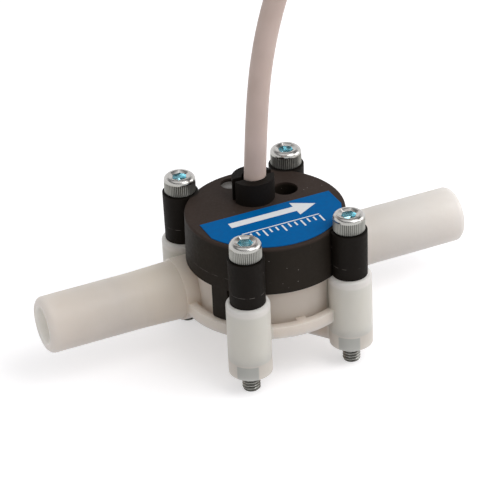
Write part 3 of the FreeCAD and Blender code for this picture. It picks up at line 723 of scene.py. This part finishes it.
def screw_mesh(head_base, material, reflection_socket_material):
    """Whole screw about the Z axis, its tip at height 0."""
    vertices, faces = [], []
    top = head_base + HEAD_H
    rise = THREAD_PITCH / THREAD_STEPS
    count = round((THREAD_LENGTH + THREAD_PITCH) / rise)
    shank = [(rise * k, thread_radius(rise * k)) for k in range(count)]
    shank.append((head_base, SHANK_R))
    tip, shank_top = loft(vertices, faces, SHANK_SEGMENTS, shank)
    faces.append(tuple(tip + k for k in reversed(range(SHANK_SEGMENTS))))

    foot, _ = loft(vertices, faces, HEAD_SEGMENTS, head_profile(head_base, top))
    first_socket_face = len(faces)
    socket = [(top - SOCKET_CHAMFER, socket_side), (top - SOCKET_DEPTH + SOCKET_CONE, socket_side)]
    _, cone = loft(vertices, faces, HEAD_SEGMENTS, socket)
    centre = len(vertices)
    vertices.append((0, 0, top - SOCKET_DEPTH))
    for k in range(HEAD_SEGMENTS):
        faces.append((cone + k, cone + (k + 1) % HEAD_SEGMENTS, centre))
    last_socket_face = len(faces)

    ratio = HEAD_SEGMENTS // SHANK_SEGMENTS
    for k in range(SHANK_SEGMENTS):
        after = (k + 1) % SHANK_SEGMENTS
        fan = [foot + (k * ratio + step) % HEAD_SEGMENTS for step in range(ratio + 1)]
        faces.append((shank_top + k, shank_top + after, *reversed(fan)))
    mesh = new_mesh("screw", vertices, faces, material, smooth_angle=32)
    mesh.materials.append(reflection_socket_material)
    for polygon in mesh.polygons[first_socket_face:last_socket_face]:
        polygon.material_index = 1
    return mesh


def make_screws(material, reflection_socket_material):
    low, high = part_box("screw_front_left")
    mesh = screw_mesh(high.z - HEAD_H, material, reflection_socket_material)
    for place in PLACES:
        matrix = standing(*screw_axis(place), low.z, math.radians(SCREW_TURNS[place]))
        piece = new_object("cap_screw_" + place, mesh, matrix)
        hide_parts("screw_" + place)


def nut_mesh(material):
    """Hexagon nut with both faces chamfered, standing on height 0."""
    vertices, faces = [], []
    reach = NUT_FACE_R + NUT_CHAMFER * NUT_CHAMFER_SLOPE

    def chamfered(angle):
        return min(hexagon_radius(NUT_AF, angle), reach)

    profile = [
        (NUT_CHAMFER, NUT_BORE_R),
        (0, NUT_COUNTERSINK_R),
        (0, NUT_FACE_R),
        (NUT_CHAMFER, chamfered),
        (NUT_H - NUT_CHAMFER, chamfered),
        (NUT_H, NUT_FACE_R),
        (NUT_H, NUT_COUNTERSINK_R),
        (NUT_H - NUT_CHAMFER, NUT_BORE_R),
        (NUT_CHAMFER, NUT_BORE_R),
    ]
    loft(vertices, faces, NUT_SEGMENTS, profile)
    return new_mesh("nut", vertices, faces, material, smooth_angle=28)


def make_nuts(material):
    """Nuts in the columns' feet, with one flat facing away from the chamber's axis."""
    mesh = nut_mesh(material)
    for place in PLACES:
        low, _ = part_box("nut_" + place)
        x, y = screw_axis(place)
        piece = new_object("hex_nut_" + place, mesh, standing(x, y, low.z, math.atan2(y, x)))
        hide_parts("nut_" + place)


# Cable


def spline_object(name, points, radius, material, resolution, corner_steps):
    """Round cord on a smooth spline through the room that its control points enclose."""
    data = bpy.data.curves.new(name, "CURVE")
    data.dimensions = "3D"
    data.bevel_depth = radius
    data.bevel_resolution = corner_steps
    data.resolution_u = resolution
    data.use_fill_caps = True
    spline = data.splines.new("NURBS")
    spline.points.add(len(points) - 1)
    for point, place in zip(spline.points, points):
        point.co = (*place, 1)
    spline.order_u = 3
    spline.use_endpoint_u = True
    data.materials.append(material)
    cord = bpy.data.objects.new(name, data)
    bpy.context.scene.collection.objects.link(cord)
    return cord


def flat_vector(angle, length=1.0):
    """Level vector, its angle counted from +X towards +Y."""
    return Vector((length * math.cos(angle), length * math.sin(angle), 0))


def coil_angle(turns):
    """Where the coil is after some turns: it runs clockwise from the side that faces the meter."""
    return math.pi - 2 * math.pi * turns


def coil_point(turns):
    """Control point of the flat coil."""
    radius = (COIL_START_R - COIL_STEP * turns) / math.cos(math.pi / COIL_POINTS)
    return COIL_CENTRE + flat_vector(coil_angle(turns), radius)


def make_cores(materials, copper):
    """Three insulated cores that leave the jacket's end, settle on the floor and end in bare strands."""
    angle = coil_angle(COIL_TURNS)
    end_r = COIL_START_R - COIL_STEP * COIL_TURNS
    heading = angle - math.pi / 2
    stride = CORE_LENGTH / CORE_STEPS
    fall = Vector((0, 0, (COIL_CENTRE.z - CORE_R) / CORE_FALL_STEPS))
    cores = []
    for k, (colour, material) in zip((-1, 0, 1), materials):
        points = [COIL_CENTRE + flat_vector(angle) * (end_r + k * CORE_GAP)]
        bend = CORE_LEAN - k * CORE_SPREAD
        for step in range(CORE_STEPS):
            way = heading - bend * min(1.0, (step + 0.5) / CORE_BEND_STEPS)
            point = points[-1] + flat_vector(way) * stride
            points.append(point - fall if step < CORE_FALL_STEPS else point)
        core = spline_object("core_" + colour, points, CORE_R, material, resolution=6, corner_steps=4)
        end = points[-1]
        along = (end - points[-2]).normalized()
        strand = [end - along * STRAND_HIDDEN, end + along * STRAND_HIDDEN, end + along * STRAND_LENGTH]
        tip = spline_object("core_tip_" + colour, strand, STRAND_R, copper, resolution=4, corner_steps=3)
        for piece in (core, tip):
            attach(piece, "meter")
            cores.append(piece)
    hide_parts("cable_cores")
    return cores


def make_cable(jacket, core_materials, copper):
    route = [Vector(point) * MM for point in CABLE_ROUTE]
    turns = [coil_point(k / COIL_POINTS) for k in range(round(COIL_TURNS * COIL_POINTS) + 1)]
    cable = spline_object("signal_cable", route + turns, CABLE_R, jacket, resolution=8, corner_steps=8)
    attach(cable, "meter")
    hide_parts("cable_run", "cable_coil")
    cores = make_cores(core_materials, copper)


# Label print


def plate(vertices, faces, outline, height):
    """Adds a thin upright prism on a flat outline in millimetres, given anticlockwise."""
    start = len(vertices)
    count = len(outline)
    vertices += [(x * MM, y * MM, height) for x, y in outline]
    vertices += [(x * MM, y * MM, height + PRINT_T) for x, y in outline]
    faces.append(tuple(start + k for k in reversed(range(count))))
    faces.append(tuple(start + count + k for k in range(count)))
    for k in range(count):
        after = (k + 1) % count
        faces.append((start + k, start + after, start + count + after, start + count + k))


def bar(x0, x1, y0, y1):
    return [(x0, y0), (x1, y0), (x1, y1), (x0, y1)]


def make_label_print(material):
    """Flow arrow towards the outlet over a row of scale ticks."""
    outlines = [ARROW]
    for k in range(-TICKS_ASIDE, TICKS_ASIDE + 1):
        end = TICK_END if k % LONG_TICK_EVERY else LONG_TICK_END
        outlines.append(bar(k * TICK_PITCH - TICK_HALF, k * TICK_PITCH + TICK_HALF, end, TICK_TOP))
    outlines.append(bar(*SCALE_LINE))
    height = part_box("label")[1].z + PRINT_LIFT
    vertices, faces = [], []
    for outline in outlines:
        plate(vertices, faces, outline, height)
    new_object("label_marks", new_mesh("label_marks", vertices, faces, material))


# Dressing


def dress(node, material):
    """Gives a solid that stays its material."""
    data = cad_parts[node].data
    data.materials.clear()
    data.materials.append(material)
    data.shade_smooth()
    data.set_sharp_from_angle(angle=math.radians(30))


def main():
    make_studio()
    zinc = zinc_material()
    # Painted reflection: the teal socket colour stands in for the surroundings mirrored in it
    socket = steel_material("socket_painted_reflection", (0.34, 0.60, 0.66), (0.74, 0.83, 0.85), 0.10, 0.30, depth=0.00008)
    nut_steel = steel_material("nut_steel", (0.42, 0.41, 0.40), (0.34, 0.33, 0.33), 0.25, 0.40)
    shaft_steel = steel_material("shaft_steel", (0.62, 0.62, 0.62), (0.55, 0.55, 0.56), 0.12, 0.22)
    magnet = steel_material("magnet", (0.50, 0.50, 0.52), (0.42, 0.42, 0.44), 0.15, 0.25)
    copper = steel_material("copper", (0.80, 0.42, 0.26), (0.70, 0.34, 0.20), 0.22, 0.35)
    white = plastic_material("rotor_plastic", (0.78, 0.77, 0.73), (0.84, 0.83, 0.79), 0.32, 0.42)
    nozzle = plastic_material("nozzle_plastic", (0.74, 0.70, 0.64), (0.80, 0.76, 0.70), 0.34, 0.44)
    cover = plastic_material("cover_plastic", (0.70, 0.66, 0.62), (0.76, 0.72, 0.68), 0.34, 0.44)
    rubber = plastic_material("seal_rubber", (0.018, 0.018, 0.018), (0.028, 0.028, 0.028), 0.45, 0.6)
    board = plastic_material("board", (0.02, 0.16, 0.06), (0.03, 0.20, 0.08), 0.25, 0.4)
    chip = plastic_material("chip_case", (0.02, 0.02, 0.022), (0.03, 0.03, 0.032), 0.4, 0.55)
    resin = plastic_material(
        "potting_resin", (0.15, 0.14, 0.13), (0.18, 0.17, 0.16), 0.22, 0.36, scale=200, depth=0.00005,
    )
    jewel = plastic_material("jewel", (0.45, 0.02, 0.06), (0.55, 0.04, 0.09), 0.05, 0.12)
    red_core = plastic_material("core_red", (0.45, 0.02, 0.02), (0.52, 0.03, 0.03), 0.3, 0.42)
    white_core = plastic_material("core_white", (0.70, 0.69, 0.67), (0.76, 0.75, 0.73), 0.3, 0.42)
    black_core = plastic_material("core_black", (0.02, 0.02, 0.02), (0.03, 0.03, 0.03), 0.3, 0.42)
    cores = (("red", red_core), ("white", white_core), ("black", black_core))
    finishes = {
        "meter_body": body_material(),
        "inlet_nozzle": nozzle,
        "rotor": white,
        "rotor_shaft": shaft_steel,
        "rotor_magnets": magnet,
        "lower_jewel": jewel,
        "upper_jewel": jewel,
        "chamber_cover": cover,
        "cover_seal": rubber,
        "sensor_cap": cap_material(),
        "sensor_board": board,
        "hall_sensor": chip,
        "board_chips": chip,
        "sensor_leads": white_core,
        "potting": resin,
        "label": label_material(),
    }
    for node, material in finishes.items():
        dress(node, material)
    make_screws(zinc, socket)
    make_nuts(nut_steel)
    make_cable(cable_material(), cores, copper)
    make_label_print(ink_material())


main()
